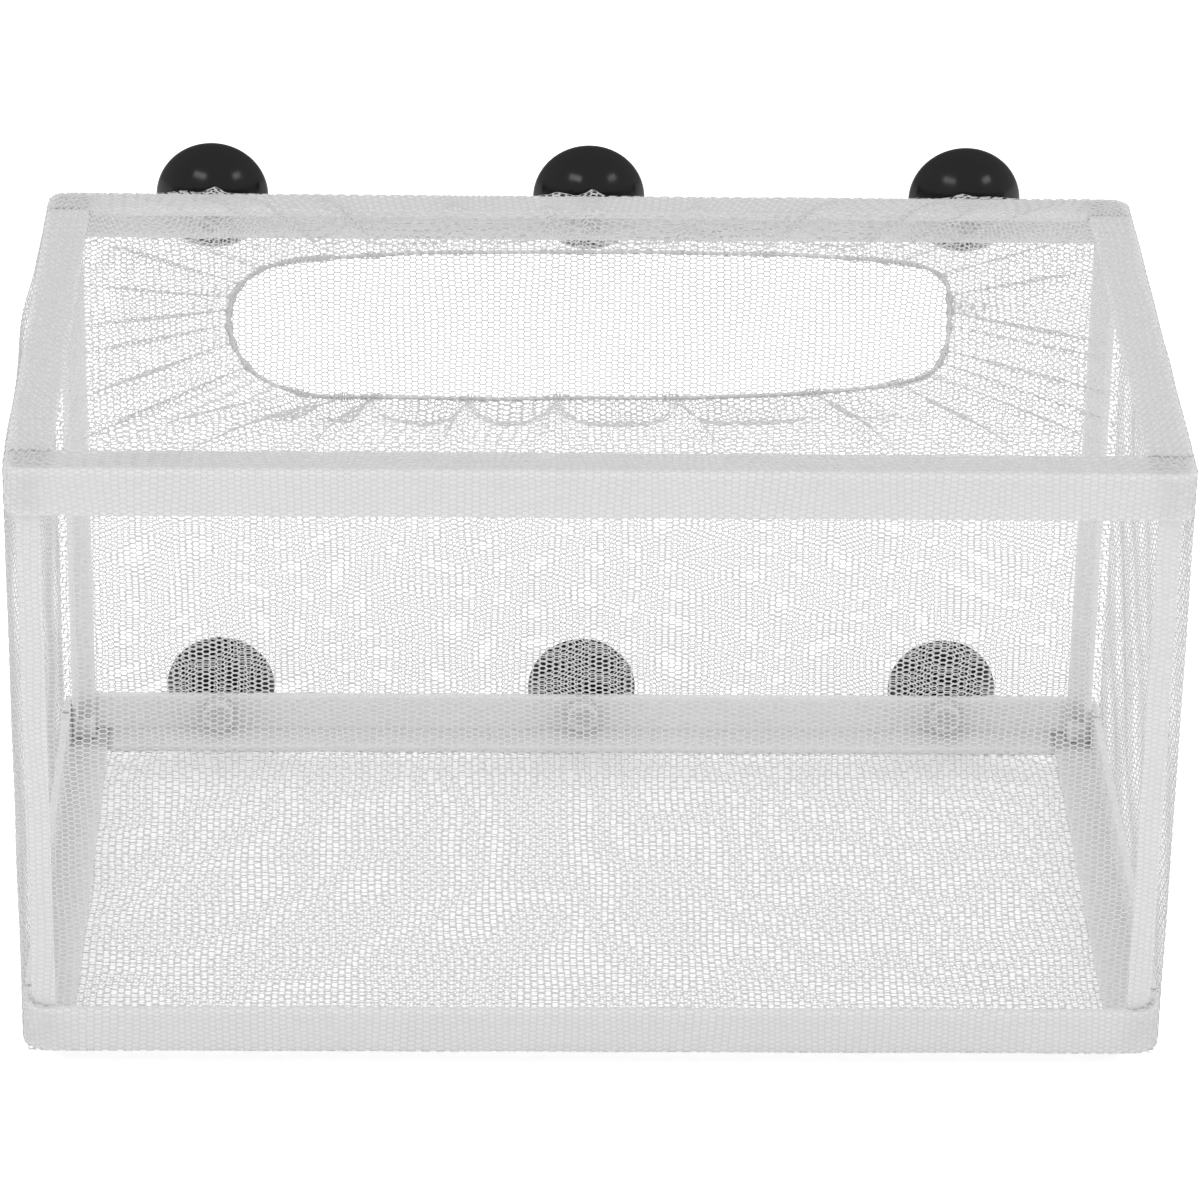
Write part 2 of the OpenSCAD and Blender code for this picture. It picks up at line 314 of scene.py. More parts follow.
def honeycomb(u0, u1, v0, v1):
    # u runs round the bag and v up it, all pieces share one pattern, and each has a few spare cells
    # on every side, which are trimmed off later
    first_u = math.floor(u0 / (2 * column_step)) - 1
    first_v = math.floor(v0 / (3 * stitch_step)) - 1
    nu = math.ceil((u1 - u0) / (2 * column_step)) + 4
    nv = 2 * math.ceil((v1 - v0) / (3 * stitch_step)) + 4
    net = bmesh.new()
    bmesh.ops.create_grid(net, x_segments=nu, y_segments=nv, size=0.5)
    for vert in net.verts:
        i = round((vert.co.x + 0.5) * nu)
        j = round((vert.co.y + 0.5) * nv)
        u = (first_u + i + 0.5 * (j % 2)) * 2 * column_step
        vert.co = (u, (2 * first_v + j) * 1.5 * stitch_step, 0)
    for face in net.faces[:]:
        a, b, c, d = face.verts
        ends = (a, c) if (a.co - c.co).length < (b.co - d.co).length else (b, d)
        bmesh.utils.face_split(face, *ends)
    bmesh.ops.bevel(net, geom=net.verts[:], offset=100 / 3, offset_type="PERCENT", affect="VERTICES",
                    segments=1, profile=0.5, material=-1)
    bmesh.ops.remove_doubles(net, verts=net.verts[:], dist=0.001 * MM)
    return net


sample = honeycomb(0, 20 * column_step, 0, 20 * stitch_step)
print("cells of", round(column_step * 1000, 2), "x", round(stitch_step * 1000, 2), "mm, and",
      len(sample.faces), "of them in a sample of 20 x 20 with its spare edge")
sample.free()

# %% [markdown]
# ## One flat piece of net
# Bevelling the honeycomb's edges gives flat threads, and deleting the six-sided faces opens the
# holes. A real thread is as thick as it is wide, which is why net looks solid from the side. So the
# rims of neighbouring holes are set at three different levels, and each thread leans between two. The
# side walls, the floor and the collar, which are seen on a slant, are given most of this depth.

# %% One flat piece of net
# "level" is the floor, the collar and the hem
thread = {"back": 0.30 * MM, "front": 0.28 * MM, "left": 0.28 * MM, "right": 0.28 * MM, "level": 0.36 * MM}
thread_depth = {"back": 0.06 * MM, "front": 0.06 * MM, "left": 0.24 * MM, "right": 0.24 * MM,
                "level": 0.2 * MM}
rim_levels = (0, 0.5, -0.5)
knit_drift = 0.7 * MM
knit_jitter = 0.035 * MM
jitter_seed, drift_seed_u, drift_seed_v = 7, 31, 32


def moved_flat(net, across, up):
    # each corner of the net moves by its own small step in the plane
    for vert, du, dv in zip(net.verts, across, up):
        vert.co += Vector((du, dv, 0))


def trimmed(net, u0, u1, v0, v1):
    # cuts the net to its piece, along four straight lines
    for point, away in (
        ((u0, 0, 0), (-1, 0, 0)),
        ((u1, 0, 0), (1, 0, 0)),
        ((0, v0, 0), (0, -1, 0)),
        ((0, v1, 0), (0, 1, 0)),
    ):
        whole = net.verts[:] + net.edges[:] + net.faces[:]
        bmesh.ops.bisect_plane(net, geom=whole, plane_co=point, plane_no=away, clear_outer=True)


def flat_net(u0, u1, v0, v1, kind):
    # a honeycomb with threads for edges and open holes, uneven as knitting is, and cut to size
    net = honeycomb(u0, u1, v0, v1)
    jitter = np.random.default_rng(jitter_seed).normal(0, knit_jitter, (len(net.verts), 2))
    moved_flat(net, jitter[:, 0], jitter[:, 1])
    bmesh.ops.bevel(net, geom=net.edges[:], offset=thread[kind] / 2, offset_type="OFFSET", affect="EDGES",
                    segments=1, profile=0.5, material=-1)
    holes = [f for f in net.faces if len(f.verts) > 4]
    for hole in holes:
        row = round(hole.calc_center_median().y / (0.5 * stitch_step))
        for vert in hole.verts:
            vert.co.z = rim_levels[row % len(rim_levels)] * thread_depth[kind]
    bmesh.ops.delete(net, geom=holes, context="FACES")
    u, v, _ = np.array([vert.co[:] for vert in net.verts]).T
    moved_flat(net, knit_drift * ripple(u, v, drift_seed_u), knit_drift * ripple(u, v, drift_seed_v))
    trimmed(net, u0, u1, v0, v1)
    return net


print("thread widths:", sorted({round(width * 1000, 2) for width in thread.values()}), "mm")

# %% [markdown]
# ## From flat net to a shape
# Real net is knitted flat and then takes its shape, and here it is the same. A surface is a function
# that gives the point in space for a place in the cloth. Each thread keeps its own height over it.

# %% Carrying net to a surface
slope_step = 0.2 * MM


def shaped(net, surface, name, mat):
    # keeps the flat place as a UV map, in metres, then carries every point to the surface
    uv = net.loops.layers.uv.new("cloth")
    for face in net.faces:
        for loop in face.loops:
            loop[uv].uv = loop.vert.co.xy
    area = sum(f.calc_area() for f in net.faces)
    u, v, lift = np.array([vert.co[:] for vert in net.verts]).T
    along_u = surface(u + slope_step, v) - surface(u - slope_step, v)
    along_v = surface(u, v + slope_step) - surface(u, v - slope_step)
    out = np.cross(along_u, along_v)
    out /= np.linalg.norm(out, axis=1)[:, None]
    for vert, place in zip(net.verts, surface(u, v) + out * lift[:, None]):
        vert.co = place
    piece = piece_from(net, name, mat, 180)
    print(name, "threads:", len(piece.data.polygons), "faces", round(area * 1e6), "mm2")
    return piece, area


print("slopes are measured over", round(2 * slope_step * 1000, 1), "mm")

# %% [markdown]
# ## Polyester yarn
# The yarn is many fine white filaments, so it shines softly along its length and lets some light
# through from behind. A filament is about 0.02 mm across, too fine to see from a metre away, so the
# change of tone is drawn from one stitch to the next, at about 1 mm.

# %% Net yarn
yarn = new_material("white_polyester_yarn")
cloth_place = add(yarn, "ShaderNodeUVMap", {"uv_map": "cloth"}).outputs["UV"]
stitches = add(yarn, "ShaderNodeTexNoise", Vector=cloth_place, Scale=900, Detail=2)
yarn_tone = add(yarn, "ShaderNodeMix", {"data_type": "RGBA"},
                i0=stitches.outputs["Fac"], i6=linear("#c9c9c9"), i7=linear("#d3d3d3"))
filaments = add(yarn, "ShaderNodeBsdfPrincipled", Base_Color=yarn_tone.outputs["Result"], Roughness=0.55,
                Sheen_Weight=0.25, Sheen_Roughness=0.4, IOR=1.54)
glow = add(yarn, "ShaderNodeBsdfTranslucent", Color=yarn_tone.outputs["Result"])
both = add(yarn, "ShaderNodeMixShader", i0=0.15, i1=filaments.outputs["BSDF"], i2=glow.outputs["BSDF"])
add(yarn, "ShaderNodeOutputMaterial", Surface=both.outputs["Shader"])
print("yarn nodes:", len(yarn.node_tree.nodes))

# %% [markdown]
# ## The way round the bag
# All the walls are one tube of net, so one measure runs round it: a distance from the left end of the
# back panel. The tube is a rectangle with rounded corners, and the rounding is tighter at the top
# strips than at the base strips. One function gives the point at any distance, for any corner radius
# and any inset from the outside.

# %% Round the bag
top_r, base_r = 4.3 * MM, 6.3 * MM
outer_w, outer_d = half_w + stand_off, half_d + stand_off
side_names = ("back", "right", "front", "left")
side_half = np.array([outer_w, outer_d, outer_w, outer_d])
side_out = np.array([outer_d, outer_w, outer_d, outer_w])
side_turn = np.array([0, -math.pi / 2, -math.pi, -1.5 * math.pi])


def run_half(half, r):
    return half - r + r * math.pi / 4


side_start = np.concatenate([[0], np.cumsum([2 * run_half(h, top_r) for h in side_half])])
bag_round = side_start[-1]


def turned(x, y, angle):
    # the direction (x, y), turned in plan
    return np.stack([x * np.cos(angle) - y * np.sin(angle), x * np.sin(angle) + y * np.cos(angle)], -1)


def round_bag(u, r, inset):
    # plan point and outward direction at distance u; r and inset may differ from point to point
    u = np.mod(u, bag_round)
    side = np.clip(np.searchsorted(side_start, u, side="right") - 1, 0, 3)
    half, out = side_half[side], side_out[side]
    tilt = side_turn[side]
    along = u - (side_start[side] + side_start[side + 1]) / 2
    along = along * run_half(half, r) / run_half(half, top_r)
    straight = half - r
    angle = np.clip((np.abs(along) - straight) / r, 0, math.pi / 4)
    x = np.sign(along) * (np.minimum(np.abs(along), straight) + (r - inset) * np.sin(angle))
    y = out - r + (r - inset) * np.cos(angle)
    plan = turned(x, y, tilt) + np.array([0, middle_y])
    outward = turned(np.sign(along) * np.sin(angle), np.cos(angle), tilt)
    return plan, outward


print("round the bag:", round(bag_round * 1000, 1), "mm,", round(bag_round / column_step, 2), "columns")

# %% [markdown]
# ## The walls
# The bag is pulled tight over the strips, so a wall is nearly flat: it lies on the strips, bridges
# the open part between them with a slight waver, and curls over the strips' rounded edges above and
# below. Where a cup's neck pulls on it, the top edge is drawn up into a small peak, so the walls'
# height and the peaks come first.

# %% Height of the walls
curl_r = 1.2 * MM
curl = curl_r * math.pi / 2
wall_h = top_z - base_z - 2 * (curl_r - stand_off)
wall_v = wall_h + 2 * curl
cup_boxes = [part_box(f"top_{column}_cup") for column in ("left", "middle", "right")]
cup_x = [(low.x + high.x) / 2 for low, high in cup_boxes]
# each peak in mm: its place to the right of a cup's axis, its height and its width
peaks_mm = (
    (0, 1.0, 1.7, 2.2), (0, -6.5, 0.7, 3.0),
    (1, -7.5, 0.9, 2.6), (1, 0.6, 1.7, 2.0),
    (2, -1.5, 1.1, 2.4), (2, 5.0, 0.5, 4.0),
)
peak_depth = 3.5 * MM
peak_reach = 4 * MM


def bump(distance, width):
    # a smooth bump, 1 in its middle and almost gone at twice its width
    return np.exp(-(distance / width) ** 2)


def edge_peaks(plan):
    # how far the net is lifted at the top of the back, over each neck
    lift = 0
    for cup, to_right, height, width in peaks_mm:
        lift = lift + height * MM * bump(plan[:, 0] - cup_x[cup] - to_right * MM, width * MM)
    return lift * bump(plan[:, 1] - back_high.y, peak_depth)


print("wall height", round(wall_v * 1000, 1), "mm, with", len(peaks_mm), "peaks at its top")

# %% [markdown]
# ## The walls' surface
# A wall is worked out as a smooth surface: a place in the cloth goes in, and a point in space comes
# out. It wavers least where it lies on a strip and near the corners. The left wall is a little loose
# under the middle of its top strip.

# %% Surface of the walls
tight_wave, open_wave = 0.12 * MM, 0.32 * MM
wave_seed = 4
strip_fade = 6 * MM
corner_tight, corner_fade = 5 * MM, 14 * MM
pressed_in = 0.1 * MM
slack_depth = 1.3 * MM
slack_width = 24 * MM
slack_below, slack_fade = 26 * MM, 20 * MM
slack_u = side_start[3] + run_half(outer_d, top_r) + 6 * MM


def side_distance(u):
    # distance from the nearest corner of the bag
    return np.min(np.abs(np.mod(u, bag_round)[:, None] - side_start[None, :]), axis=1)


def wall_surface(u, v):
    # the height, and how far the cloth has curled over the lower or the upper edge
    low_angle = np.clip(1 - v / curl, 0, 1) * math.pi / 2
    high_angle = np.clip((v - curl - wall_h) / curl, 0, 1) * math.pi / 2
    angle = np.maximum(low_angle, high_angle)
    z = base_z - stand_off + curl_r + np.clip(v - curl, 0, wall_h)
    z = z - curl_r * np.sin(low_angle) + curl_r * np.sin(high_angle)

    # the place in plan, on corners that are tighter at the top
    height = np.clip((z - base_z) / (top_z - base_z), 0, 1)
    r = base_r + (top_r - base_r) * height
    plan, out = round_bag(u, r, curl_r * (1 - np.cos(angle)))

    # the waver and the slack push the cloth out, and the necks draw its top edge up
    over_base, under_top = z - base_z - rail_leg, top_z - rail_leg - z
    between = eased(over_base, 0, strip_fade) * eased(under_top, 0, strip_fade)
    from_corner = eased(side_distance(u), corner_tight, corner_fade)
    wave = (tight_wave + open_wave * between * from_corner) * ripple(u, v, wave_seed)
    slack = slack_depth * bump(u - slack_u, slack_width) * eased(z, top_z - slack_below, slack_fade)
    push = np.maximum(wave + slack, -pressed_in) * np.cos(angle)
    z = z + edge_peaks(plan) * eased(z, top_z - peak_reach, peak_reach)
    return np.column_stack([plan + out * push[:, None], z])


bottom, middle, top = wall_surface(np.full(3, slack_u), np.array([0, wall_v / 2, wall_v]))[:, 2]
print("the left wall runs from", round(bottom, 4), "past", round(middle, 4), "to", round(top, 4), "m")

# %% [markdown]
# ## The walls and their holes
# Each wall is a flat piece of net whose threads are carried to the surface. The cups' necks pass
# through the back wall, so it is opened round each of them first: the few threads in the way are
# taken out, and the rest are pushed aside.

# %% Walls of the bag
neck_hole_r = 2.05 * MM
lost_r = 0.8 * MM


def neck_places():
    # where the six necks pass through the back wall, in cloth coordinates
    for level in ("top", "base"):
        low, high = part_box(f"{level}_middle_cup")
        z = (low.z + high.z) / 2
        r = base_r + (top_r - base_r) * (z - base_z) / (top_z - base_z)
        for x in cup_x:
            u = run_half(outer_w, top_r) * (1 + x / run_half(outer_w, r))
            yield Vector((u, z - base_z + stand_off - curl_r + curl, 0))


def open_round(net, neck):
    # a hole for one neck, with the threads round it pushed out and less so farther away
    in_the_way = [f for f in net.faces if (f.calc_center_median() - neck).xy.length < lost_r]
    bmesh.ops.delete(net, geom=in_the_way, context="FACES")
    for vert in net.verts:
        away = (vert.co - neck).xy
        if away.length < 2 * neck_hole_r:
            vert.co.xy = neck.xy + away.normalized() * (neck_hole_r + away.length / 2)


walls = {}
for k, side in enumerate(side_names):
    net = flat_net(side_start[k], side_start[k + 1], 0, wall_v, side)
    for neck in neck_places() if side == "back" else ():
        open_round(net, neck)
    walls[side] = shaped(net, wall_surface, f"net_{side}_knit", yarn)

# %% [markdown]
# ## The floor
# The bottom of the bag is one flat piece, held up by the base strips. Net has almost no stiffness, so
# it hangs a little in the middle.

# %% Floor of the bag
floor_w, floor_d = outer_w - curl_r, outer_d - curl_r
floor_sag = 1.2 * MM
floor_wave = 0.15 * MM
floor_seed = 9
held_edge = 10 * MM
sag_from_ends, sag_from_front = 50 * MM, 45 * MM


def floor_surface(u, v):
    x, y = u - floor_w, v - floor_d
    open_x = eased(floor_w - np.abs(x), held_edge, sag_from_ends)
    open_y = eased(floor_d - np.abs(y), held_edge, sag_from_front)
    sag = floor_sag * np.sin(open_x * math.pi / 2) * np.sin(open_y * math.pi / 2)
    wave = floor_wave * ripple(x, y, floor_seed) * np.minimum(open_x, open_y)
    return np.column_stack([x, y + middle_y, base_z - stand_off - sag + wave])


floor_net = flat_net(0, 2 * floor_w, 0, 2 * floor_d, "level")
bag_floor, floor_area = shaped(floor_net, floor_surface, "net_floor_knit", yarn)

# %% [markdown]
# ## The mouth
# The elastic draws the top of the bag in to an opening that a hand fits through. Its outline isn't a
# true oval: the net pulls it out at the four corners of the frame. So it is given as a loop of
# measured points, and a smooth curve is run through them.

# %% Outline of the mouth
# x and y in mm, from the middle of the back round by the right
mouth_mm = [
    (0, -46.3), (24, -46), (42, -47), (56, -48.7), (66, -50), (74, -52), (79, -55), (82, -61),
    (82.6, -68), (82, -80), (80.8, -92), (79, -103), (75.6, -113.5), (70, -119), (62, -122),
    (48, -124.5), (30, -126.8), (12, -128), (-8, -128.7), (-29, -128.9), (-48, -128.7),
    (-61, -128), (-68, -125), (-74, -120), (-79, -112), (-82.6, -99), (-84, -85), (-83, -71),
    (-79.5, -60.7), (-74, -54.5), (-66, -50.6), (-55, -49.2), (-40, -47.8), (-18, -46.6),
]
points_between = 40


def smooth_weights(t):
    # weights of four neighbours in a curve that passes through its points
    before = -t + 2 * t ** 2 - t ** 3
    here = 2 - 5 * t ** 2 + 3 * t ** 3
    there = t + 4 * t ** 2 - 3 * t ** 3
    after = -t ** 2 + t ** 3
    return np.stack([before, here, there, after]) / 2


points = np.array(mouth_mm) * MM
step = np.linspace(0, len(points), points_between * len(points), endpoint=False)
nearest, part = step.astype(int), step % 1
loop = 0
for k, weight in enumerate(smooth_weights(part)):
    loop = loop + weight[:, None] * points[(nearest + k - 1) % len(points)]
closed_loop = np.vstack([loop, loop[:1]])
loop_at = np.concatenate([[0], np.cumsum(np.linalg.norm(np.diff(closed_loop, axis=0), axis=1))])
mouth_round = loop_at[-1]


def mouth_point(s):
    # plan point at distance s round the mouth
    s = np.mod(s, mouth_round)
    return np.column_stack([np.interp(s, loop_at, closed_loop[:, axis]) for axis in (0, 1)])


def mouth_distance(x, y):
    # distance round the mouth of its nearest point
    return loop_at[np.argmin((loop[:, 0] - x * MM) ** 2 + (loop[:, 1] - y * MM) ** 2)]


print("round the mouth:", round(mouth_round * 1000, 1), "mm, gathered from", round(bag_round * 1000, 1))

# %% [markdown]
# ## Where the folds run
# Nearly twice as much net arrives at the mouth as there is elastic, and the spare cloth draws up into
# folds. Each runs in plan from a point on the frame's outer edge to a point on the mouth, so a fold is
# written as those two points, the cloth that it takes up, its width, and how far from the edge it
# begins. Folds over the back strip begin at the edge, and the others where the net leaves the plastic.
# The four corners of the mouth gather wide, dense fans, and the two ends thin taut lines.

# %% Folds
# x and y on the edge, x and y on the mouth, cloth and width in mm, then where it begins
folds_mm = [
    (27, -12, 21, -47, 4, 1.6, 0.0), (62, -12, 41, -47, 7, 2.0, 0.0),
    (88, -12, 63, -49, 9, 2.2, 0.0), (103, -12, 69, -50.3, 7, 2.4, 0.0),
    (119, -12, 74, -52, 6, 2.0, 0.0), (130, -27, 81, -60, 7, 0.9, 0.2),
    (130, -52, 82, -72, 9, 0.9, 0.2), (130, -103, 82, -80, 7, 0.55, 0.2),
    (130, -112, 81, -88, 6, 0.5, 0.2), (130, -134, 80, -102, 7, 0.5, 0.2),
    (130, -152, 78, -109, 6, 0.5, 0.2), (124, -166, 74, -116, 8, 1.4, 0.2),
    (95, -166, 67, -120, 10, 1.8, 0.1), (67, -166, 48, -124, 11, 1.2, 0.1),
    (27, -166, 16, -128, 11, 1.2, 0.1), (-12, -166, -9, -128, 11, 1.1, 0.1),
    (-35, -166, -28.5, -129, 12, 1.1, 0.1), (-66, -166, -50, -128, 11, 1.3, 0.1),
    (-96, -166, -57, -128, 9, 1.8, 0.1), (-118, -166, -66, -126, 9, 2.0, 0.2),
    (-126, -166, -79, -112, 9, 0.7, 0.2), (-130, -143, -82, -100, 7, 0.6, 0.2),
    (-130, -112, -84, -91, 7, 0.5, 0.2), (-130, -94, -84, -82, 7, 0.5, 0.2),
    (-130, -66, -84, -75, 6, 0.6, 0.2), (-130, -34, -82, -68, 8, 0.6, 0.2),
    (-130, -15, -79, -58, 6, 1.6, 0.05), (-112, -12, -73, -53, 6, 2.0, 0.0),
    (-98, -12, -69, -50.8, 7, 2.4, 0.0), (-86, -12, -64, -49.6, 9, 2.2, 0.0),
    (-66, -12, -52, -48, 7, 2.0, 0.0), (-33, -12, -32, -47, 4, 1.6, 0.0),
    (-10, -12, -9.5, -46, 4, 1.4, 0.0), (1, -12, -3, -46, 4, 1.4, 0.0),
]
print("folds:", len(folds_mm), "taking up", sum(fold[4] for fold in folds_mm), "mm of cloth")

# %% [markdown]
# ## From points to distances
# The collar is worked out in cloth coordinates, so each fold's two points become distances: one round
# the outline of the bag and one round the mouth. Between two folds the lines of the cloth run evenly,
# so a fold that runs slanting in plan carries its neighbours with it.

# %% Folds as distances
edge_rise, inner_rise = 0.4, 0.25  # height of a fold's ridge, as a share of its cloth
wide_fan, narrow_fan = 3.2, 1.5  # how much wider a fold is at the frame
early = 0.15  # a fold that begins before this, but not at the edge, fans out widely
outline_steps = 3300
zero_u = run_half(outer_w, top_r)
round_steps = np.linspace(0, bag_round, outline_steps + 1)
outline = round_bag(round_steps, top_r, 0)[0]


def edge_distance(x, y):
    # distance round the bag, from the middle of the back, of the outline's nearest point
    nearest = np.argmin((outline[:, 0] - x * MM) ** 2 + (outline[:, 1] - y * MM) ** 2)
    return (round_steps[nearest] - zero_u) % bag_round


fold_q = np.array([edge_distance(ex, ey) for ex, ey, *_ in folds_mm])
fold_s = np.array([mouth_distance(mx, my) for _, _, mx, my, *_ in folds_mm])
fold_cloth = np.array([cloth * MM for *_, cloth, _, _ in folds_mm])
fold_width = np.array([width * MM for *_, width, _ in folds_mm])
fold_begins = np.array([begins for *_, begins in folds_mm])
fold_rise = fold_cloth * np.where(fold_begins == 0, edge_rise, inner_rise)
fold_fan = np.where((fold_begins > 0) & (fold_begins < early), wide_fan, narrow_fan)

# how far the folds run ahead of an even gathering, smoothed round the bag
ahead = np.mod(fold_s - fold_q * mouth_round / bag_round + mouth_round / 2, mouth_round) - mouth_round / 2
drift = np.interp(round_steps, fold_q, ahead, period=bag_round)
reach = 30
soften = np.exp(-np.linspace(-2.5, 2.5, 2 * reach + 1) ** 2)
drift = np.concatenate([drift[-reach - 1:-1], drift, drift[1:reach + 1]])
drift = np.convolve(drift, soften / soften.sum(), "valid")


def mouth_from_line(q):
    # place on the mouth of the radial line that leaves the frame at q
    return q * mouth_round / bag_round + np.interp(np.mod(q, bag_round), round_steps, drift)


print("the folds run up to", round(float(np.abs(drift).max() * 1000), 1), "mm ahead of even gathering")

# %% [markdown]
# ## How the cloth is shared out
# Seen from above, a fold is a narrow band that holds a lot of cloth, and its neighbourhood gives that
# cloth up. So for each step from the frame to the mouth, a running total says how much cloth has been
# used at each radial line, rising steeply at each fold. Read the other way round, it says on which
# line any stitch lies.

# %% Sharing the cloth
give = 18 * MM  # how far to each side a fold draws its cloth from
steps_in = np.linspace(0, 1, 41)
takes_up, fullness, slackens = 0.35, 0.7, 0.25
steepness, farthest = 2.4, 30


def wrapped(q, centre):
    # the shorter way round the bag from centre to q
    return np.mod(q - centre + bag_round / 2, bag_round) - bag_round / 2


def fold_strength(t):
    # a fold fills up over the first third of its length, then slackens a little
    return eased(t, fold_begins, takes_up) ** fullness * (1 - slackens * t)


line_scale = np.gradient(mouth_from_line(round_steps), round_steps)
fold_scale = np.interp(fold_q, round_steps, line_scale)
line_of_cloth = np.zeros((len(steps_in), len(round_steps)))
for row, t in enumerate(steps_in):
    used = round_steps.copy()
    widths = fold_width * (1 + fold_fan * (1 - t)) / (1 - t + t * fold_scale)
    for centre, cloth, width in zip(fold_q, fold_cloth * fold_strength(t), widths):
        away = wrapped(round_steps, centre)
        taken = 1 / (1 + np.exp(-np.clip(away / width, -farthest, farthest) * steepness))
        given = eased(away, -give, 2 * give)
        used += cloth * (taken - given)
    line_of_cloth[row] = np.interp(round_steps, np.maximum.accumulate(used), round_steps)


def line_from_cloth(u, t):
    # radial line on which cloth distance u lies, t of the way in
    u = np.mod(u - zero_u, bag_round)
    column = u / round_steps[1]
    row = np.clip(t, 0, 1) * (len(steps_in) - 1)
    i = np.minimum(column.astype(int), len(round_steps) - 2)
    j = np.minimum(row.astype(int), len(steps_in) - 2)
    a, b = column - i, row - j
    table = line_of_cloth
    return ((1 - a) * (1 - b) * table[j, i] + a * (1 - b) * table[j, i + 1]
            + (1 - a) * b * table[j + 1, i] + a * b * table[j + 1, i + 1])


print("cloth rows:", line_of_cloth.shape)

# %% [markdown]
# ## The collar
# The collar lies on the strips, then crosses from their inner edges to the elastic. A fold stands up
# in a low ridge. The cloth isn't spread evenly from the frame to the mouth: it crowds towards the
# elastic in front and at the ends, and towards the strip at the back. One function says where a
# stitch lies in plan.

# %% Collar in plan
collar_v = 50 * MM
flat_leg = 10 * MM
seat_z = top_z + stand_off
hem_z = top_z + 0.2 * MM
on_strip = 0.25  # the share of the cloth that lies on the strips
# from front to back, how much the cloth crowds to the elastic, or below zero to the strip
crowding_y = middle_y + np.array([-37, -25, 34, 40]) * MM
crowding = (0.45, 0.25, 0.2, -0.35)
front_y, front_fade = middle_y - 25 * MM, 12 * MM
front_x, front_x_fade = 78 * MM, 14 * MM
back_y, back_fade = -55 * MM, 6 * MM
hem_wave, hem_seed = 0.25 * MM, 12


def inside_edge(plan):
    # distance from the frame's outer edge, in plan
    return np.minimum(half_w - np.abs(plan[:, 0]), half_d - np.abs(plan[:, 1] - middle_y))


def hem_height(s):
    return hem_z + hem_wave * ripple(s, 0 * s, hem_seed)


def collar_place(u, v):
    # how far in a stitch lies, on which radial line, and the two ends of that line
    cloth = np.clip(v / collar_v, 0, 1)
    mouth_y = mouth_point(mouth_from_line(line_from_cloth(u, cloth)))[:, 1]
    beyond = eased(cloth, on_strip, 1 - on_strip)
    t = cloth + np.interp(mouth_y, crowding_y, crowding) * beyond * (1 - beyond)
    line = line_from_cloth(u, t)
    edge = round_bag(line + zero_u, top_r, curl_r)[0]
    return t, line, edge, mouth_point(mouth_from_line(line))


def in_front(hem):
    # 1 along the straight front of the mouth, and 0 at its ends and back
    return eased(-hem[:, 1], -front_y, front_fade) * eased(-np.abs(hem[:, 0]), -front_x, front_x_fade)


print("collar:", round(bag_round / MM), "x", round(collar_v / MM), "mm of net, before it is gathered")

# %% [markdown]
# ## How high the collar stands
# A second function adds the height. Between the front folds the loose net hangs in pockets close
# behind the elastic. Just before the elastic, what cloth is left over is crimped in fine gathers,
# 3 mm apart.

# %% Collar of the bag
ridge_spread, ridge_fade = 1.5, 0.3
ridge_start, ridge_fullness = 0.08, 0.6
tent_width, tent_hold = 5 * MM, 0.98
sag_mm, pocket_mm, pocket_lean = 1.0, 4.5, 5.0
crepe_rise, crepe_pitch = 0.8 * MM, 5.2 * MM
crepe_wander, crepe_seed = 3, 15
gather_pitch, gather_rise, gather_shift = 3.1 * MM, 0.35 * MM, 0.5 * MM
gather_wander, gather_seed = 2, 5
gather_from, gather_sooner = 0.75, 0.2
gather_low, gather_high = 0.5, 0.97


def collar_surface(u, v):
    t, line, edge, hem = collar_place(u, v)
    plan = edge * (1 - t)[:, None] + hem * t[:, None]
    free = np.clip((inside_edge(plan) - flat_leg) / (inside_edge(hem) - flat_leg), 0, 1)
    inward = (hem - edge) / np.linalg.norm(hem - edge, axis=1)[:, None]
    front = in_front(hem)
    back = eased(hem[:, 1], back_y, back_fade)

    # each fold stands up in a ridge
    away = wrapped(line[:, None], fold_q[None, :])
    scale = (1 - t)[:, None] + t[:, None] * fold_scale[None, :]
    ridges = bump(away * scale, ridge_spread * fold_width) * fold_rise[None, :]
    ridges = (ridges * eased(t[:, None], fold_begins, ridge_fade)).sum(1)
    ridge = ridges * np.sin(math.pi * np.clip(t, ridge_start, 1)) ** ridge_fullness

    # loose net sags between the folds, most of all in front
    tent = bump(away * scale, tent_width).max(1)
    loose = front * (1 - tent)
    pocket = (sag_mm + pocket_mm * front * (1 - tent_hold * tent)) * MM
    hang = np.sin(math.pi * free ** (1 + pocket_lean * front))

    # shallow waves along the back, and fine gathers next to the elastic
    crepe_turn = 2 * math.pi * v / crepe_pitch + crepe_wander * ripple(u, v, crepe_seed)
    crepe = crepe_rise * back * np.sin(crepe_turn) * np.sin(math.pi * free)
    gathered = eased(t, gather_from - gather_sooner * loose, 1 - gather_from)
    gather_turn = 2 * math.pi * u / gather_pitch + gather_wander * ripple(u, 0 * u, gather_seed)
    wave = np.sin(gather_turn) * gathered * np.sin(math.pi * np.clip(t, gather_low, gather_high))

    rise = (hem_height(mouth_from_line(line)) - seat_z) * free
    z = seat_z + rise - pocket * hang + ridge + crepe + gather_rise * wave
    z = np.where(free <= 0, np.maximum(z, seat_z), z)
    plan = plan + inward * (gather_shift * loose * wave)[:, None]
    return np.column_stack([plan, z + edge_peaks(plan)])


collar_net = flat_net(0, bag_round, 0, collar_v, "level")
collar, collar_area = shaped(collar_net, collar_surface, "net_collar_knit", yarn)

# %% [markdown]
# ## Elastic cord
# The edge of the net is folded over a thin elastic cord, which shows as a fine grey line where there
# is little net. Rubber threads are covered with a braid of fine yarn, so the surface is matt and
# ribbed on the slant, about 1 mm apart.

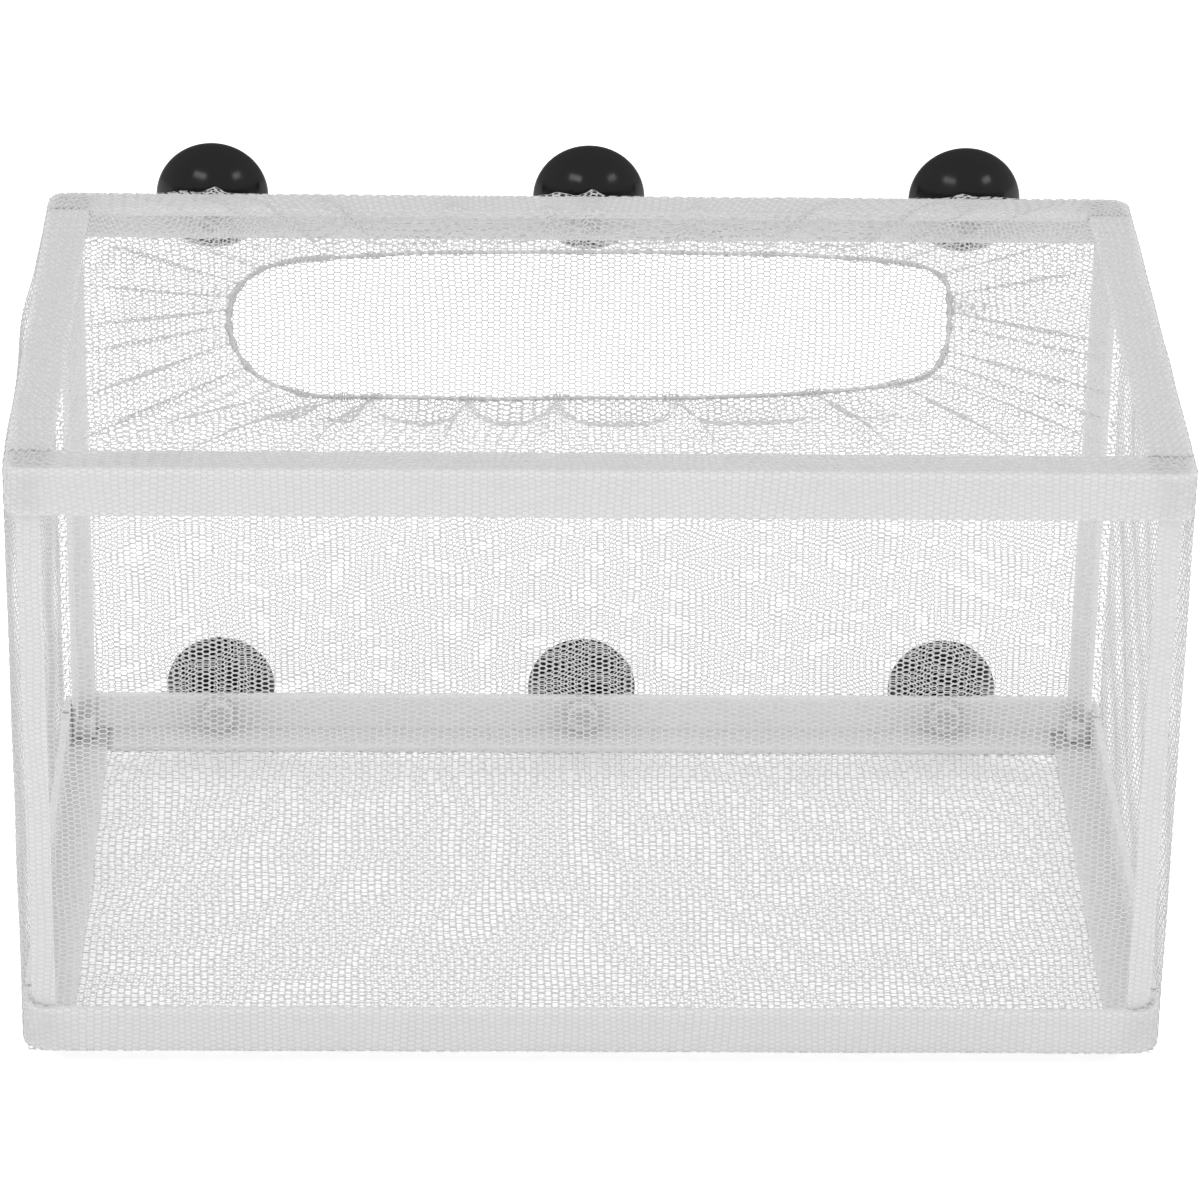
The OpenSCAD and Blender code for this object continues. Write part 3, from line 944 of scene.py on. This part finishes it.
# %% Elastic cover
elastic = new_material("grey_covered_elastic")
along = add(elastic, "ShaderNodeUVMap", {"uv_map": "cloth"}).outputs["UV"]
braid = add(elastic, "ShaderNodeTexWave", {"wave_type": "BANDS", "bands_direction": "DIAGONAL"},
            Vector=along, Scale=260, Distortion=1.5)
cover = add(elastic, "ShaderNodeMix", {"data_type": "RGBA"},
            i0=braid.outputs["Fac"], i6=linear("#c8c8c8"), i7=linear("#dadada"))
ribs = add(elastic, "ShaderNodeBump", Height=braid.outputs["Fac"], Strength=0.3, Distance=0.0001)
covered = add(elastic, "ShaderNodeBsdfPrincipled", Base_Color=cover.outputs["Result"], Roughness=0.6,
              Normal=ribs.outputs["Normal"], Sheen_Weight=0.2)
add(elastic, "ShaderNodeOutputMaterial", Surface=covered.outputs["BSDF"])
print("elastic nodes:", len(elastic.node_tree.nodes))

# %% [markdown]
# ## The cord round the mouth
# The cord is a tube that follows the mouth's outline. It starts as a flat grid, like the net, so that
# its ribs follow it round, and its edges are merged where it closes on itself.

# %% Elastic cord
elastic_r = 0.38 * MM
steps_round_mouth, steps_round_cord = 440, 10
ahead_by = 0.5 * MM


def hem_line(s):
    return np.column_stack([mouth_point(s), hem_height(np.mod(s, mouth_round))])


def round_the_hem(s, r, angle):
    # points on a tube of radius r round the hem's line, at s along it
    middle = hem_line(s)
    ahead = mouth_point(s + ahead_by) - mouth_point(s - ahead_by)
    ahead = ahead / np.linalg.norm(ahead, axis=1)[:, None]
    side = np.column_stack([ahead[:, 1], -ahead[:, 0]])
    plan = middle[:, :2] + side * (r * np.cos(angle))[:, None]
    return np.column_stack([plan, middle[:, 2] + r * np.sin(angle)])


def cord_surface(s, v):
    return round_the_hem(s, elastic_r, v / elastic_r)


cord = bmesh.new()
bmesh.ops.create_grid(cord, x_segments=steps_round_mouth, y_segments=steps_round_cord, size=0.5)
for v in cord.verts:
    v.co = ((v.co.x + 0.5) * mouth_round, (v.co.y + 0.5) * 2 * math.pi * elastic_r, 0)
elastic_piece, _ = shaped(cord, cord_surface, "mouth_elastic", elastic)
seam = bmesh.new()
seam.from_mesh(elastic_piece.data)
bmesh.ops.remove_doubles(seam, verts=seam.verts[:], dist=0.01 * MM)
bmesh.ops.recalc_face_normals(seam, faces=seam.faces[:])
seam.to_mesh(elastic_piece.data)
seam.free()
print("elastic:", round(mouth_round / MM), "mm round the mouth")

# %% [markdown]
# ## Hem
# The roll of net over the elastic is one more strip of the same knit, as long as the collar, so it is
# gathered as tightly. It is wrapped once round the cord, and swells where the folds arrive.

# %% Hem
hem_cloth = 5 * MM
hem_r = 0.45 * MM
swell, swell_width = 0.05, 2.5 * MM


def hem_radius(s):
    near = np.mod(s[:, None] - fold_s[None, :] + mouth_round / 2, mouth_round) - mouth_round / 2
    return hem_r + swell * (bump(near, swell_width) * fold_cloth).sum(1)


def hem_surface(u, v):
    s = mouth_from_line(line_from_cloth(u, 1 + 0 * u))
    return round_the_hem(s, hem_radius(s), 2 * math.pi * v / hem_cloth)


hem, _ = shaped(flat_net(0, bag_round, 0, hem_cloth, "level"), hem_surface, "mouth_hem_knit", yarn)

# %% [markdown]
# ## What each piece is
# Each panel of net is a sheet of cloth. Each soft piece rides on the box, and stands for the plain shape
# that the frame had in its place.

for side, (piece, area) in walls.items():
    width = 2 * run_half(side_half[side_names.index(side)], top_r)
    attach(piece, "box")
    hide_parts(f"net_{side}")
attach(bag_floor, "box")
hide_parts("net_floor")
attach(hem, "box")
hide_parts("collar_hem")
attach(elastic_piece, "box")
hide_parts("elastic_cord")
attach(collar, "box")
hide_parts("net_collar")
wall_area = sum(area for _, area in walls.values())
print("thread in the panels:", round((wall_area + floor_area + collar_area) * 1e4), "cm2")

# %% [markdown]
# ## The table
# A white net is shown on white, so the table is white paper with faint fibres. It glows a little, to
# stay near white, but only as the camera sees it, in reflections and through anything clear. So the
# glow adds no light to the object.

# %% Table
paper = new_material("white_backdrop_paper")
fibre_place = add(paper, "ShaderNodeTexCoord").outputs["Object"]
fibre = add(paper, "ShaderNodeTexNoise", Vector=fibre_place, Scale=400, Detail=3)
fibre_tone = add(paper, "ShaderNodeMix", {"data_type": "RGBA"},
                 i0=fibre.outputs["Fac"], i6=linear("#f6f6f6"), i7=linear("#fdfdfd"))
sheet_shader = add(paper, "ShaderNodeBsdfPrincipled",
                   Base_Color=fibre_tone.outputs["Result"], Roughness=0.9)
lit = add(paper, "ShaderNodeEmission", Color=(1, 1, 1, 1), Strength=0.5)
dark = add(paper, "ShaderNodeEmission", Color=(0, 0, 0, 1), Strength=0)
rays = add(paper, "ShaderNodeLightPath")
seen = add(paper, "ShaderNodeMath", {"operation": "MAXIMUM"},
           i0=rays.outputs["Is Camera Ray"], i1=rays.outputs["Is Glossy Ray"])
seen = add(paper, "ShaderNodeMath", {"operation": "MAXIMUM"},
           i0=seen.outputs["Value"], i1=rays.outputs["Is Transmission Ray"])
extra = add(paper, "ShaderNodeMixShader",
            i0=seen.outputs["Value"], i1=dark.outputs["Emission"], i2=lit.outputs["Emission"])
paper_all = add(paper, "ShaderNodeAddShader",
                i0=sheet_shader.outputs["BSDF"], i1=extra.outputs["Shader"])
add(paper, "ShaderNodeOutputMaterial", Surface=paper_all.outputs["Shader"])

table_half = 4
table_gap = 0.3 * MM
lowest = min(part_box(n)[0].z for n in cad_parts)
table_top = bmesh.new()
bmesh.ops.create_grid(table_top, x_segments=1, y_segments=1, size=table_half)
bmesh.ops.translate(table_top, verts=table_top.verts[:], vec=(0, 0, lowest - table_gap))
table = piece_from(table_top, "table_top", paper)
print("table top at", round(lowest - table_gap, 4), "m")

# %% [markdown]
# ## Sky and lamps
# The light must be soft and level: too much and the threads vanish, too little and they look grey.
# The sky lights the object from all round, and is plain white to the camera and through anything
# clear. Two soft lamps stand high in front, on the left and on the right, and shape it. They also
# make the cups' highlights.

# %% Sky and lamps
world = bpy.data.worlds.new("studio")
world.use_nodes = True
bpy.context.scene.world = world
world.node_tree.nodes.clear()
sky = add(world, "ShaderNodeBackground", Color=(1, 1, 1, 1), Strength=0.98)
white = add(world, "ShaderNodeBackground", Color=(1, 1, 1, 1), Strength=1.0)
rays = add(world, "ShaderNodeLightPath")
seen = add(world, "ShaderNodeMath", {"operation": "MAXIMUM"},
           i0=rays.outputs["Is Camera Ray"], i1=rays.outputs["Is Transmission Ray"])
backdrop = add(world, "ShaderNodeMixShader",
               i0=seen.outputs["Value"], i1=sky.outputs["Background"], i2=white.outputs["Background"])
add(world, "ShaderNodeOutputWorld", Surface=backdrop.outputs["Shader"])


def soft_lamp(name, place, aim, size, power):
    # sizes in metres and power in watts
    data = bpy.data.lights.new(name, "AREA")
    data.shape = "RECTANGLE"
    data.size, data.size_y = size
    data.energy = power
    lamp = bpy.data.objects.new(name, data)
    lamp.location = place
    lamp.rotation_euler = (Vector(aim) - Vector(place)).to_track_quat("-Z", "Y").to_euler()
    bpy.context.collection.objects.link(lamp)
    return lamp


box_middle = (0, middle_y, -0.06)
soft_lamp("key", place=(-0.75, -1.3, 1.05), aim=box_middle, size=(0.7, 0.3), power=3.5)
soft_lamp("fill", place=(1.45, -1.2, 1.1), aim=box_middle, size=(0.55, 0.35), power=3.2)
